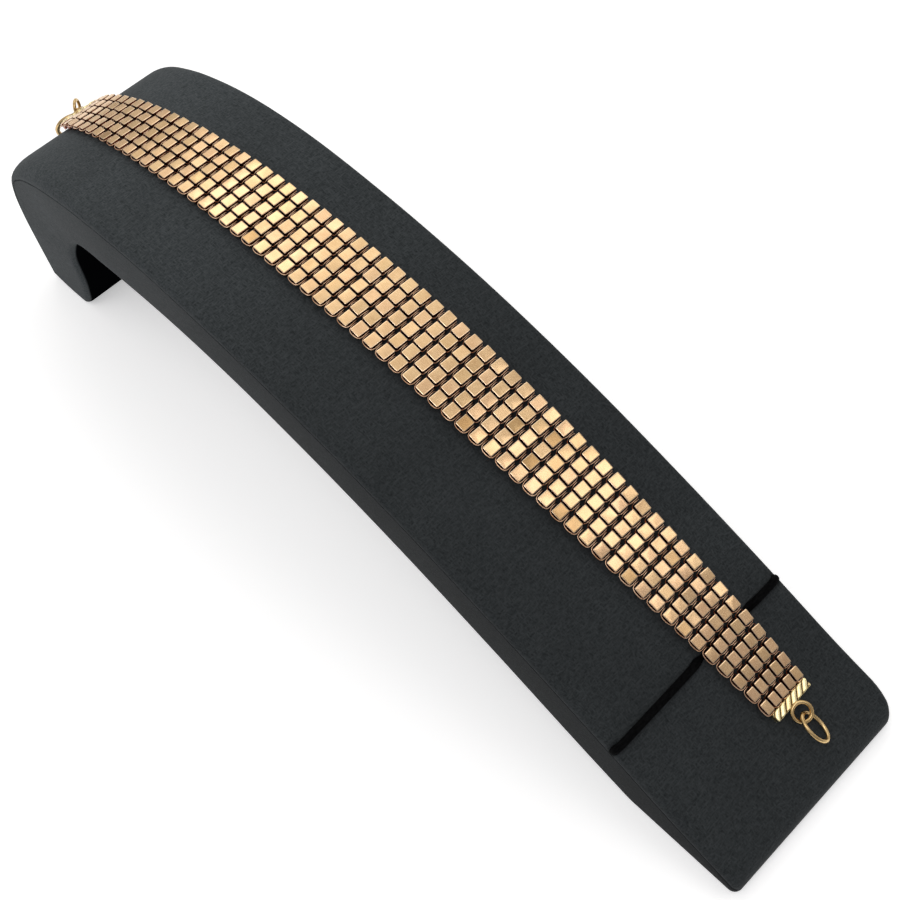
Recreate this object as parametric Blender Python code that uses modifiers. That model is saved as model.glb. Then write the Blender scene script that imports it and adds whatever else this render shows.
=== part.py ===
"""A flexible gold plate bracelet lying open on the curved ramp that displays it.

World frame: +X along the ramp toward its lip, +Y to the right of someone who
looks up the ramp, +Z up. The origin is under the middle of the ramp, on the table.
"""

import math

import bmesh
import bpy
import numpy as np
from mathutils import Matrix, Vector

# Driving dimensions of the ramp, in metres
RAMP_LENGTH = 0.2050
RAMP_WIDTH = 0.0422
RAMP_HEIGHT = 0.0505
BOARD_THICKNESS = 0.0145
LEG_THICKNESS = 0.0190
LIP_HEIGHT = 0.0046
LIP_RADIUS = 0.0022
FOOT_RADIUS = 0.0016
SIDE_EDGE_RADIUS = 0.0015

# Driving dimensions of the elastic cord
CORD_DIAMETER = 0.0014
CORD_FROM_LIP = 0.0297
CORD_SINK_MARGIN = 0.0019
CORD_SINK_SOFTNESS = 0.0005

# Driving dimensions of the plate band
COLUMNS = 5
ROW_PITCH = 0.003085
COLUMN_PITCH = 0.00304
PLATE_LENGTH = 0.00215
COLUMN_GAP = 0.00038
PLATE_RISE = 0.0005
WEB_THICKNESS = 0.00085
NEAR_TAPER = 0.355
FAR_TAPER = 0.25
NEAR_MARGIN = 0.0145
FAR_MARGIN = 0.0429
NEAR_SIDE_SHIFT = 0.0070
BAND_YAW = math.radians(2.20)

# Driving dimensions of the fittings
CAP_LENGTH = 0.00165
CAP_WIDTH = 0.0087
CAP_THICKNESS = 0.0016
CAP_EDGE_RADIUS = 0.00025
FLUTES = 6
FLUTE_RADIUS = 0.00035
FLUTE_DEPTH = 0.00022
FLUTE_ANGLE = math.radians(47.0)
RING_WIRE = 0.00070
SOLDERED_RING_DIAMETER = 0.00395
SOLDERED_RING_HEIGHT = 0.00175
SOLDER_OVERLAP = 0.00025
OVAL_RING_LENGTH = 0.0064
OVAL_RING_WIDTH = 0.0047
FAR_RING_DIAMETER = 0.0043
CLASP_DIAMETER = 0.0090
CLASP_WIRE = 0.00105
CLASP_EYE_DIAMETER = 0.0029
CLASP_EYE_WIRE = 0.0006

# Where along its cap and at what lean the near soldered ring sits; where the oval ring's
# centre lies from that ring's centre, in shares of its own half length and half width,
# and its lean
NEAR_SOLDERED_SHIFT = -0.0003
NEAR_SOLDERED_LEAN = math.radians(15.0)
OVAL_RING_OFFSET = (1.10, -0.10, 0.06)
OVAL_RING_LEAN = math.radians(-48.0)

# Where the far jump ring's centre lies from the soldered ring's outer wire, in shares
# of its own radius, and its turns
FAR_RING_OFFSET = (-0.16, -0.70, 0.34)
FAR_RING_PITCH = math.radians(49.7)
FAR_RING_LEAN = math.radians(-46.9)

# Where round the far jump ring the clasp's eye hangs, and the clasp's turns
CLASP_ROUND_RING = math.radians(-28.8)
CLASP_YAW = math.radians(18.4)
CLASP_PITCH = math.radians(20.7)
CLASP_ROLL = math.radians(26.2)

# Clearance that every piece keeps to its neighbour
GAP = 0.0003

# Top of the ramp from the lip to the foot, as shares of the length and the height
TOP_SECTIONS = (
    (0.065, 0.203),
    (0.125, 0.325),
    (0.235, 0.532),
    (0.347, 0.715),
    (0.463, 0.860),
    (0.581, 0.955),
    (0.702, 1.000),
    (0.824, 0.958),
    (0.889, 0.891),
    (0.9375, 0.804),
    (0.968, 0.706),
    (0.988, 0.573),
    (0.998, 0.399),
    (1.000, 0.215),
)

# Underside of the board: share of the length, share of the board's thickness
BOARD_SECTIONS = (
    (0.065, 0.90),
    (0.125, 0.98),
    (0.235, 1.00),
    (0.347, 1.00),
    (0.463, 1.00),
    (0.581, 0.99),
    (0.702, 1.04),
    (0.790, 1.06),
    (0.860, 1.10),
)

# Inner face of the leg: share of the height, share of the leg's thickness
LEG_SECTIONS = (
    (0.400, 1.24),
    (0.215, 1.14),
    (0.000, 0.89),
)

# Half of the cord's route, in cord diameters: distance in from the ramp's side,
# height over its top
CORD_ROUTE = (
    (11.43, 0.50),
    (7.86, 0.50),
    (4.29, 0.50),
    (2.14, 0.50),
    (1.10, 0.40),
    (0.60, 0.05),
    (0.45, -0.50),
    (0.72, -1.02),
    (1.57, -1.43),
    (3.00, -1.71),
)

# Spacing of the points along the ramp's top line and along its solid's outline
LINE_STEP = 0.0005
OUTLINE_STEP = 0.0030

MATERIALS = {
    "leatherette": ((0.030, 0.034, 0.035), 0.0, 0.75),
    "elastic": ((0.004, 0.004, 0.004), 0.0, 0.80),
    "rose_gold": ((0.78, 0.50, 0.28), 1.0, 0.28),
    "yellow_gold": ((0.86, 0.62, 0.27), 1.0, 0.22),
}


def clear_scene():
    for item in list(bpy.data.objects):
        bpy.data.objects.remove(item, do_unlink=True)


def new_collection(name):
    collection = bpy.data.collections.new(name)
    bpy.context.scene.collection.children.link(collection)
    return collection


def new_material(name):
    color, metallic, roughness = MATERIALS[name]
    material = bpy.data.materials.new(name)
    material.use_nodes = True
    shader = material.node_tree.nodes["Principled BSDF"]
    shader.inputs["Base Color"].default_value = (*color, 1.0)
    shader.inputs["Metallic"].default_value = metallic
    shader.inputs["Roughness"].default_value = roughness
    return material


def smooth_curve(points, step):
    """Samples about one step apart on a smooth curve through the points."""
    points = np.array(points, dtype=float)
    chords = np.linalg.norm(np.diff(points, axis=0), axis=1)
    knots = np.concatenate(([0.0], np.cumsum(chords)))
    slopes = np.gradient(points, knots, axis=0)
    samples = []
    for i, chord in enumerate(chords):
        count = max(1, round(chord / step))
        for t in np.arange(count) / count:
            samples.append(
                (2 * t**3 - 3 * t**2 + 1) * points[i]
                + (t**3 - 2 * t**2 + t) * chord * slopes[i]
                + (3 * t**2 - 2 * t**3) * points[i + 1]
                + (t**3 - t**2) * chord * slopes[i + 1]
            )
    samples.append(points[-1])
    return np.array(samples)


def fillet(before, corner, after, radius, steps=4):
    """Points of the arc that rounds a corner of a flat outline."""
    to_before = (before - corner) / np.linalg.norm(before - corner)
    to_after = (after - corner) / np.linalg.norm(after - corner)
    half_angle = math.acos(np.clip(to_before @ to_after, -1.0, 1.0)) / 2
    middle = (to_before + to_after) / np.linalg.norm(to_before + to_after)
    centre = corner + middle * radius / math.sin(half_angle)
    start = corner + to_before * radius / math.tan(half_angle) - centre
    end = corner + to_after * radius / math.tan(half_angle) - centre
    total = math.atan2(start[0] * end[1] - start[1] * end[0], start @ end)
    arc = []
    for i in range(steps + 1):
        angle = total * i / steps
        turn = np.array(((math.cos(angle), -math.sin(angle)), (math.sin(angle), math.cos(angle))))
        arc.append(centre + turn @ start)
    return arc


class TopLine:
    """The ramp's top as a line from the lip to the foot, measured along its length.

    Its plane has the distance behind the lip as first axis and the height as second.
    """

    def __init__(self):
        points = [(0.0, LIP_HEIGHT)]
        points += [(along * RAMP_LENGTH, up * RAMP_HEIGHT) for along, up in TOP_SECTIONS]
        points.append((RAMP_LENGTH, 0.0))
        self.points = smooth_curve(points, LINE_STEP)
        steps = np.linalg.norm(np.diff(self.points, axis=0), axis=1)
        self.lengths = np.concatenate(([0.0], np.cumsum(steps)))
        self.slopes = np.gradient(self.points, self.lengths, axis=0)

    def at_length(self, length):
        """Point, direction down the far side and upward normal at a length from the lip."""
        point = np.array([np.interp(length, self.lengths, self.points[:, i]) for i in (0, 1)])
        slope = np.array([np.interp(length, self.lengths, self.slopes[:, i]) for i in (0, 1)])
        slope /= np.linalg.norm(slope)
        return point, slope, np.array((-slope[1], slope[0]))

    def length_behind_lip(self, behind):
        """Length along the line up to a distance behind the lip."""
        climb = int(np.argmax(self.points[:, 0]))
        return float(np.interp(behind, self.points[:climb, 0], self.lengths[:climb]))

    def length_at_height(self, height):
        """Length along the line down to a height on the leg."""
        crest = int(np.argmax(self.points[:, 1]))
        return float(np.interp(-height, -self.points[crest:, 1], self.lengths[crest:]))


TOP = TopLine()

# The band has as many rows as lie between its margins, and its last row is at the far one
BAND_REACH = (TOP.lengths[-1] - FAR_MARGIN - NEAR_MARGIN) / math.cos(BAND_YAW)
ROWS = 1 + int(BAND_REACH / ROW_PITCH)
FIRST_ROW_FROM_LIP = TOP.lengths[-1] - FAR_MARGIN - (ROWS - 1) * ROW_PITCH * math.cos(BAND_YAW)


def world_point(behind_lip, side, height):
    return Vector((RAMP_LENGTH / 2 - behind_lip, side, height))


def over_top(length, side, height):
    """World point above the ramp's top, at a length from the lip."""
    point, _, normal = TOP.at_length(length)
    point = point + normal * height
    return world_point(point[0], side, point[1])


def band_to_top(back, across):
    """Length from the lip and side position of a point of the band laid flat.

    The band's own axes are the distance back from its first row and the
    distance across from its middle line.
    """
    length = FIRST_ROW_FROM_LIP + back * math.cos(BAND_YAW) + across * math.sin(BAND_YAW)
    side = NEAR_SIDE_SHIFT - back * math.sin(BAND_YAW) + across * math.cos(BAND_YAW)
    return length, side


def band_point(back, across, height):
    """World point at a height over the ramp, following the band."""
    length, side = band_to_top(back, across)
    return over_top(length, side, height)


def column_pitch(back):
    """Column spacing at a distance back from the first row: widest in the middle."""
    middle = (ROWS - 1) * ROW_PITCH / 2
    taper = NEAR_TAPER if back < middle else FAR_TAPER
    return COLUMN_PITCH * (1 - taper * ((back - middle) / middle) ** 2)


def band_frame(back, height):
    """Placing of a fitting on the band's middle line: X toward the lip, Z off the ramp."""
    step = ROW_PITCH / 4
    origin = band_point(back, 0.0, height)
    forward = (band_point(back - step, 0.0, height) - band_point(back + step, 0.0, height)).normalized()
    sideways = (band_point(back, step, height) - band_point(back, -step, height)).normalized()
    upward = forward.cross(sideways).normalized()
    sideways = upward.cross(forward)
    rotation = Matrix((forward, sideways, upward)).transposed()
    return Matrix.Translation(origin) @ rotation.to_4x4()


def add_object(name, mesh, collection, material):
    item = bpy.data.objects.new(name, mesh)
    collection.objects.link(item)
    if material:
        item.data.materials.append(material)
    return item


def mark_cutter(item):
    item.hide_render = True
    item.display_type = "WIRE"
    return item


def curve_object(name, points, closed, collection):
    """A curve through 3D points, without any thickness yet."""
    data = bpy.data.curves.new(name, "CURVE")
    data.dimensions = "3D"
    spline = data.splines.new("POLY")
    spline.points.add(len(points) - 1)
    for target, point in zip(spline.points, points):
        target.co = (*point, 1.0)
    spline.use_cyclic_u = closed
    item = bpy.data.objects.new(name, data)
    collection.objects.link(item)
    return item


def tube(name, points, diameter, closed, collection, material):
    item = curve_object(name, points, closed, collection)
    item.data.bevel_depth = diameter / 2
    item.data.bevel_resolution = 2
    item.data.use_fill_caps = not closed
    if material:
        item.data.materials.append(material)
    return item


def as_mesh(item, merge=0.000001):
    """The curve's evaluated shape as a mesh object that takes its place."""
    bpy.context.view_layer.update()
    depsgraph = bpy.context.evaluated_depsgraph_get()
    mesh = bpy.data.meshes.new_from_object(item.evaluated_get(depsgraph))
    bm = bmesh.new()
    bm.from_mesh(mesh)
    bmesh.ops.remove_doubles(bm, verts=bm.verts, dist=merge)
    bmesh.ops.recalc_face_normals(bm, faces=bm.faces)
    bm.to_mesh(mesh)
    bm.free()
    name = item.name
    collection = item.users_collection[0]
    matrix = item.matrix_world.copy()
    bpy.data.objects.remove(item, do_unlink=True)
    result = bpy.data.objects.new(name, mesh)
    result.matrix_world = matrix
    collection.objects.link(result)
    return result


def add_boolean(item, other, operation):
    modifier = item.modifiers.new(other.name, "BOOLEAN")
    modifier.operation = operation
    modifier.object = other
    modifier.solver = "EXACT"


def shade_round(item, angle=math.radians(35.0)):
    item.data.shade_smooth()
    item.data.set_sharp_from_angle(angle=angle)


def ramp_outline():
    """The ramp's side outline, from under the lip up over the crest to the foot and back."""
    stations = [OUTLINE_STEP * i for i in range(1, int(TOP.lengths[-1] / OUTLINE_STEP))]
    top = [TOP.at_length(length)[0] for length in stations]
    top = [point for point in top if point[1] > 2 * FOOT_RADIUS or point[0] < RAMP_LENGTH / 2]

    under = []
    for along, share in BOARD_SECTIONS:
        point, _, normal = TOP.at_length(TOP.length_behind_lip(along * RAMP_LENGTH))
        under.append(point - normal * share * BOARD_THICKNESS)
    for up, share in LEG_SECTIONS:
        point, _, _ = TOP.at_length(TOP.length_at_height(up * RAMP_HEIGHT))
        under.append(point - np.array((share * LEG_THICKNESS, 0.0)))
    under = smooth_curve(under, OUTLINE_STEP)
    foot_inner = under[-1]
    first = int(np.argmax(under[:, 1] > 0.0))
    share = under[first][1] / (under[first][1] - under[first - 1][1])
    toe = under[first] + (under[first - 1] - under[first]) * share
    arch = [point for point in under[first:] if point[1] > FOOT_RADIUS]

    lip_bottom = np.array((0.0, 0.0))
    lip_top = np.array((0.0, LIP_HEIGHT))
    foot_outer = np.array((RAMP_LENGTH, 0.0))
    outline = [toe]
    outline += fillet(toe, lip_bottom, lip_top, FOOT_RADIUS)
    outline += fillet(lip_bottom, lip_top, top[0], LIP_RADIUS)
    outline += top
    outline += fillet(top[-1], foot_outer, foot_inner, FOOT_RADIUS)
    outline += fillet(foot_outer, foot_inner, arch[-1], FOOT_RADIUS)
    outline += arch[::-1]
    return outline


def make_ramp(collection, cutters):
    """The padded board: its outline across the full width, with rounded side edges."""
    data = bpy.data.curves.new("display_ramp", "CURVE")
    data.dimensions = "2D"
    data.fill_mode = "BOTH"
    data.extrude = RAMP_WIDTH / 2 - SIDE_EDGE_RADIUS
    data.bevel_depth = SIDE_EDGE_RADIUS
    data.bevel_resolution = 1
    data.offset = -SIDE_EDGE_RADIUS
    outline = ramp_outline()
    spline = data.splines.new("POLY")
    spline.points.add(len(outline) - 1)
    for target, point in zip(spline.points, outline):
        target.co = (RAMP_LENGTH / 2 - point[0], point[1], 0.0, 1.0)
    spline.use_cyclic_u = True
    ramp = bpy.data.objects.new("display_ramp", data)
    ramp.rotation_euler = (math.pi / 2, 0.0, 0.0)
    collection.objects.link(ramp)
    ramp = as_mesh(ramp)
    ramp.data.materials.append(new_material("leatherette"))

    channel = tube(
        "cord_channel", cord_points(GAP), CORD_DIAMETER + 2 * GAP, False, cutters, None
    )
    add_boolean(ramp, mark_cutter(as_mesh(channel)), "DIFFERENCE")
    shade_round(ramp)
    return ramp


def cord_sink(side):
    """How far the band presses the cord into the padding: one diameter under the band."""
    back = (CORD_FROM_LIP - FIRST_ROW_FROM_LIP) / math.cos(BAND_YAW)
    _, middle = band_to_top(back, 0.0)
    half = COLUMNS * column_pitch(back) / 2 + CORD_SINK_MARGIN
    return CORD_DIAMETER / (1 + math.exp((abs(side - middle) - half) / CORD_SINK_SOFTNESS))


def cord_points(extra):
    """The cord's route from side to side, its hidden ends longer by the extra."""
    half = [
        np.array((RAMP_WIDTH / 2 - inset * CORD_DIAMETER, height * CORD_DIAMETER))
        for inset, height in CORD_ROUTE
    ]
    ending = half[-1] - half[-2]
    half[-1] = half[-1] + ending / np.linalg.norm(ending) * extra
    other = [point * np.array((-1.0, 1.0)) for point in half]
    route = smooth_curve(other[::-1] + half, CORD_DIAMETER)
    return [over_top(CORD_FROM_LIP, side, height - cord_sink(side)) for side, height in route]


def make_cord(collection):
    cord = tube(
        "elastic_cord", cord_points(0.0), CORD_DIAMETER, False, collection, new_material("elastic")
    )
    return cord


def make_band(collection):
    """A web with a raised plate at each crossing of a row and a column."""
    backs = []
    for row in range(ROWS):
        backs += [row * ROW_PITCH - PLATE_LENGTH / 2, row * ROW_PITCH + PLATE_LENGTH / 2]
    sides = []
    for column in range(COLUMNS):
        place = column - (COLUMNS - 1) / 2
        sides += [(place, -1), (place, 1)]
    row_cells = len(backs) - 1
    column_cells = len(sides) - 1
    heights = (GAP, GAP + WEB_THICKNESS, GAP + WEB_THICKNESS + PLATE_RISE)

    # A flat grid a cell wide each way, its levels still 0, 1 and 2
    bm = bmesh.new()
    bmesh.ops.create_grid(bm, x_segments=row_cells, y_segments=column_cells, size=0.5)
    for vert in bm.verts:
        vert.co.x = round((vert.co.x + 0.5) * row_cells)
        vert.co.y = round((vert.co.y + 0.5) * column_cells)
    web = bmesh.ops.extrude_face_region(bm, geom=bm.faces[:], use_keep_orig=True)
    web_verts = [item for item in web["geom"] if isinstance(item, bmesh.types.BMVert)]
    bmesh.ops.translate(bm, verts=web_verts, vec=(0.0, 0.0, 1.0))
    plates = []
    for face in web["geom"]:
        if isinstance(face, bmesh.types.BMFace):
            centre = face.calc_center_median()
            if int(centre.x) % 2 == 0 and int(centre.y) % 2 == 0:
                plates.append(face)
    raised = bmesh.ops.extrude_discrete_faces(bm, faces=plates)
    raised_verts = [vert for face in raised["faces"] for vert in face.verts]
    bmesh.ops.translate(bm, verts=raised_verts, vec=(0.0, 0.0, 1.0))

    # Every corner goes to its place on the band
    for vert in bm.verts:
        back = backs[round(vert.co.x)]
        place, side = sides[round(vert.co.y)]
        pitch = column_pitch(back)
        across = place * pitch + side * (pitch - COLUMN_GAP) / 2
        vert.co = band_point(back, across, heights[round(vert.co.z)])
    bm.normal_update()
    bmesh.ops.recalc_face_normals(bm, faces=bm.faces)
    mesh = bpy.data.meshes.new("tile_mesh_band")
    bm.to_mesh(mesh)
    bm.free()
    return add_object("tile_mesh_band", mesh, collection, new_material("rose_gold"))


def oval(length, width, count=24):
    """Points of an upright oval's middle line, its length along X and width along Y."""
    angles = [2 * math.pi * i / count for i in range(count)]
    return [Vector((length / 2 * math.cos(a), width / 2 * math.sin(a), 0.0)) for a in angles]


def ring(name, length, width, wire, placing, collection, material):
    """A ring of round wire with the given outer length and width."""
    points = [placing @ point for point in oval(length - wire, width - wire)]
    return tube(name, points, wire, True, collection, material)


def soldered_ring_placing(cap_placing, shift, lean):
    """Placing of the ring on a cap's outer face, X pointing away from the band."""
    reach = CAP_LENGTH / 2 + SOLDERED_RING_DIAMETER / 2 - SOLDER_OVERLAP
    rise = SOLDERED_RING_HEIGHT - GAP - CAP_THICKNESS / 2
    return cap_placing @ Matrix.Translation((reach, shift, rise)) @ Matrix.Rotation(lean, 4, "X")


def make_cap(name, placing, ring_placing, collection, cutters, material):
    """A fluted bar across the band's end, with a ring soldered to its outer face."""
    bpy.ops.mesh.primitive_cube_add(size=1.0)
    cap = bpy.context.object
    cap.name = name
    for owner in list(cap.users_collection):
        owner.objects.unlink(cap)
    collection.objects.link(cap)
    cap.data.transform(Matrix.Diagonal((CAP_LENGTH, CAP_WIDTH, CAP_THICKNESS, 1.0)))
    cap.matrix_world = placing
    cap.data.materials.append(material)
    bevel = cap.modifiers.new("edges", "BEVEL")
    bevel.width = CAP_EDGE_RADIUS
    bevel.segments = 2

    flute_top = CAP_THICKNESS / 2 - FLUTE_DEPTH + FLUTE_RADIUS
    flute_length = CAP_LENGTH / math.sin(FLUTE_ANGLE) + 2 * CAP_EDGE_RADIUS
    turn = Matrix.Rotation(FLUTE_ANGLE, 4, "Z") @ Matrix.Rotation(math.pi / 2, 4, "X")
    bm = bmesh.new()
    for i in range(FLUTES):
        side = (i - (FLUTES - 1) / 2) * CAP_WIDTH / FLUTES
        bmesh.ops.create_cone(
            bm,
            cap_ends=True,
            segments=8,
            radius1=FLUTE_RADIUS,
            radius2=FLUTE_RADIUS,
            depth=flute_length,
            matrix=Matrix.Translation((0.0, side, flute_top)) @ turn,
        )
    mesh = bpy.data.meshes.new(name + "_flutes")
    bm.to_mesh(mesh)
    bm.free()
    flutes = add_object(name + "_flutes", mesh, cutters, None)
    flutes.matrix_world = placing
    add_boolean(cap, mark_cutter(flutes), "DIFFERENCE")

    soldered = ring(
        name + "_ring",
        SOLDERED_RING_DIAMETER,
        SOLDERED_RING_DIAMETER,
        RING_WIRE,
        ring_placing,
        cutters,
        None,
    )
    add_boolean(cap, mark_cutter(as_mesh(soldered)), "UNION")
    shade_round(cap)
    return cap


def make_near_ring(soldered, collection, material):
    """The oval jump ring lies at a lean through the near soldered ring."""
    half_length = (OVAL_RING_LENGTH - RING_WIRE) / 2
    half_width = (OVAL_RING_WIDTH - RING_WIRE) / 2
    along, aside, up = OVAL_RING_OFFSET
    placing = (
        soldered
        @ Matrix.Translation((along * half_length, aside * half_width, up * half_width))
        @ Matrix.Rotation(OVAL_RING_LEAN, 4, "X")
    )
    ring("near_jump_ring", OVAL_RING_LENGTH, OVAL_RING_WIDTH, RING_WIRE, placing, collection, material)


def make_far_ring_and_clasp(soldered, collection, cutters, material):
    """The far jump ring stands at a lean through the soldered ring and holds the clasp's eye."""
    soldered_radius = (SOLDERED_RING_DIAMETER - RING_WIRE) / 2
    ring_radius = (FAR_RING_DIAMETER - RING_WIRE) / 2
    offset = Vector((soldered_radius, 0.0, 0.0)) + Vector(FAR_RING_OFFSET) * ring_radius
    jump = (
        soldered
        @ Matrix.Translation(offset)
        @ Matrix.Rotation(FAR_RING_PITCH, 4, "Y")
        @ Matrix.Rotation(FAR_RING_LEAN, 4, "X")
    )
    ring("far_jump_ring", FAR_RING_DIAMETER, FAR_RING_DIAMETER, RING_WIRE, jump, collection, material)

    on_ring = Vector((math.cos(CLASP_ROUND_RING), math.sin(CLASP_ROUND_RING), 0.0)) * ring_radius
    turn = (
        soldered.to_3x3()
        @ Matrix.Rotation(CLASP_YAW, 3, "Z")
        @ Matrix.Rotation(CLASP_PITCH, 3, "Y")
        @ Matrix.Rotation(CLASP_ROLL, 3, "X")
    )
    eye = Matrix.Translation(jump @ on_ring) @ turn.to_4x4()
    reach = (CLASP_DIAMETER - CLASP_WIRE) / 2 + (CLASP_EYE_DIAMETER - CLASP_EYE_WIRE) / 2
    body = eye @ Matrix.Translation((reach, 0.0, 0.0))
    clasp = as_mesh(
        ring("ring_clasp", CLASP_DIAMETER, CLASP_DIAMETER, CLASP_WIRE, body, collection, material)
    )
    small = ring(
        "clasp_eye", CLASP_EYE_DIAMETER, CLASP_EYE_DIAMETER, CLASP_EYE_WIRE, eye, cutters, None
    )
    add_boolean(clasp, mark_cutter(as_mesh(small)), "UNION")
    shade_round(clasp)


def main():
    clear_scene()
    parts = new_collection("gold_bracelet_on_ramp")
    cutters = new_collection("cutters")
    make_ramp(parts, cutters)
    make_cord(parts)
    make_band(parts)

    gold = new_material("yellow_gold")
    cap_back = PLATE_LENGTH / 2 + GAP + CAP_LENGTH / 2
    cap_height = GAP + CAP_THICKNESS / 2
    near_cap = band_frame(-cap_back, cap_height)
    far_cap = band_frame((ROWS - 1) * ROW_PITCH + cap_back, cap_height)
    far_cap = far_cap @ Matrix.Rotation(math.pi, 4, "Z")
    near_ring = soldered_ring_placing(near_cap, NEAR_SOLDERED_SHIFT, NEAR_SOLDERED_LEAN)
    far_ring = soldered_ring_placing(far_cap, 0.0, 0.0)
    make_cap("near_end_cap", near_cap, near_ring, parts, cutters, gold)
    make_cap("far_end_cap", far_cap, far_ring, parts, cutters, gold)
    make_near_ring(near_ring, parts, gold)
    make_far_ring_and_clasp(far_ring, parts, cutters, gold)


main()
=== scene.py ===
"""The looks of the gold plate bracelet on its display ramp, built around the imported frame.

Everything is in metres. +X is toward the ramp's lip, +Y to the right of someone who
looks up the ramp, and +Z up.
"""

import math
import random

import bmesh
import bpy
import numpy as np
from mathutils import Matrix, Vector


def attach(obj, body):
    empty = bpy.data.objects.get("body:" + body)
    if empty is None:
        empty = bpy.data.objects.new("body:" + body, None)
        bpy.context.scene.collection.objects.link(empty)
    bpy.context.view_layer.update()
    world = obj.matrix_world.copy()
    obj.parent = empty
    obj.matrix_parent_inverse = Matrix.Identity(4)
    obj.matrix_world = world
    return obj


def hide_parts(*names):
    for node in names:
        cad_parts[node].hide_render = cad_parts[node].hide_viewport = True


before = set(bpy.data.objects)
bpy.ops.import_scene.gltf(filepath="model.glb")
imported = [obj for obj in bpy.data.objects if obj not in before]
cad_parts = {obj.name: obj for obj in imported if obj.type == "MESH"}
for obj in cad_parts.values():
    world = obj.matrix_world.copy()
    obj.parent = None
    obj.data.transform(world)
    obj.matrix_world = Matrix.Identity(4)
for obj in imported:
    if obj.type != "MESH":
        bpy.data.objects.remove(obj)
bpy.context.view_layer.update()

BODY = "root"

# The ramp, as in the part but for a leg that is a little thinner on its inner face
RAMP_LENGTH = 0.2050
RAMP_WIDTH = 0.0422
RAMP_HEIGHT = 0.0505
BOARD_THICKNESS = 0.0145
LEG_THICKNESS = 0.0190
LIP_HEIGHT = 0.0046
TOP_LINE_STEP = 0.0005

# Top of the ramp from the lip to the foot, as shares of the length and the height
TOP_SECTIONS = (
    (0.065, 0.203),
    (0.125, 0.325),
    (0.235, 0.532),
    (0.347, 0.715),
    (0.463, 0.860),
    (0.581, 0.955),
    (0.702, 1.000),
    (0.824, 0.958),
    (0.889, 0.891),
    (0.9375, 0.804),
    (0.968, 0.706),
    (0.988, 0.573),
    (0.998, 0.399),
    (1.000, 0.215),
)

# Underside of the board: share of the length, share of the board's thickness
BOARD_SECTIONS = (
    (0.065, 0.90),
    (0.125, 0.98),
    (0.235, 1.00),
    (0.347, 1.00),
    (0.463, 1.00),
    (0.581, 0.99),
    (0.702, 1.04),
    (0.790, 1.06),
    (0.860, 1.10),
)

# Inner face of the leg: share of the height, share of the leg's thickness
LEG_SECTIONS = (
    (0.400, 1.16),
    (0.215, 1.09),
    (0.000, 0.87),
)

# The elastic cord. It lies a little askew and comes close to the band before it sinks,
# where the part's cord runs straight across and sinks a little further out. The slant is
# the change of its place along the top for each metre to the right.
CORD_DIAMETER = 0.0014
CORD_FROM_LIP = 0.02905
CORD_SLANT = 0.0166
CORD_SINK_MARGIN = 0.0014
CORD_SINK_SOFTNESS = 0.0005

# Half of the cord's route, in cord diameters: distance in from the ramp's side, height
# over its top
CORD_ROUTE = (
    (11.43, 0.50),
    (7.86, 0.50),
    (4.29, 0.50),
    (2.14, 0.50),
    (1.10, 0.40),
    (0.60, 0.05),
    (0.45, -0.50),
    (0.72, -1.02),
    (1.57, -1.43),
    (3.00, -1.71),
)

# The band and its fittings, as in the part
ROWS = 62
COLUMNS = 5
ROW_PITCH = 0.003085
COLUMN_PITCH = 0.00304
PLATE_LENGTH = 0.00215
COLUMN_GAP = 0.00038
PLATE_TOP = 0.00165
NEAR_TAPER = 0.355
FAR_TAPER = 0.25
FAR_MARGIN = 0.0429
NEAR_SIDE_SHIFT = 0.0070
BAND_YAW = math.radians(2.20)
CAP_LENGTH = 0.00165
CAP_WIDTH = 0.0087
CAP_THICKNESS = 0.0016
FLUTES = 6
FLUTE_ANGLE = math.radians(47.0)
RING_WIRE = 0.00070
SOLDERED_RING_DIAMETER = 0.00395
SOLDERED_RING_HEIGHT = 0.00175
SOLDER_OVERLAP = 0.00025
OVAL_RING_LENGTH = 0.0064
OVAL_RING_WIDTH = 0.0047
FAR_RING_DIAMETER = 0.0043
CLASP_DIAMETER = 0.0090
CLASP_WIRE = 0.00105
CLASP_EYE_DIAMETER = 0.0029
CLASP_EYE_WIRE = 0.0006

# Where along its cap and at what lean the near soldered ring sits; where the oval ring's
# centre lies from that ring's centre, in shares of its own half length and half width,
# and its lean
NEAR_SOLDERED_SHIFT = -0.0003
NEAR_SOLDERED_LEAN = math.radians(15.0)
OVAL_RING_OFFSET = (1.10, -0.10, 0.06)
OVAL_RING_LEAN = math.radians(-48.0)

# Where the far jump ring's centre lies from the soldered ring's outer wire, in shares
# of its own radius, and its turns
FAR_RING_OFFSET = (-0.16, -0.70, 0.34)
FAR_RING_PITCH = math.radians(49.7)
FAR_RING_LEAN = math.radians(-46.9)

# Where round the far jump ring the clasp's eye hangs, and the clasp's turns
CLASP_ROUND_RING = math.radians(-28.8)
CLASP_YAW = math.radians(18.4)
CLASP_PITCH = math.radians(20.7)
CLASP_ROLL = math.radians(26.2)

# Clearance of the fittings over the cover and from the plates
GAP = 0.0003

# The camera, fitted to the photograph
IMAGE_SIZE = 900
FOCAL_PIXELS = 1232.3
SENSOR_WIDTH = 36.0
CAMERA_NEAREST = 0.005
CAMERA_FURTHEST = 20.0
CAMERA_PLACE = (RAMP_LENGTH / 2 + 0.02093, -0.06920, 0.20866)
CAMERA_RIGHT = (0.6863, 0.7168, -0.1229)
CAMERA_UP = (-0.5572, 0.6269, 0.5446)
CAMERA_BACK = (0.4674, -0.3053, 0.8297)


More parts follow.
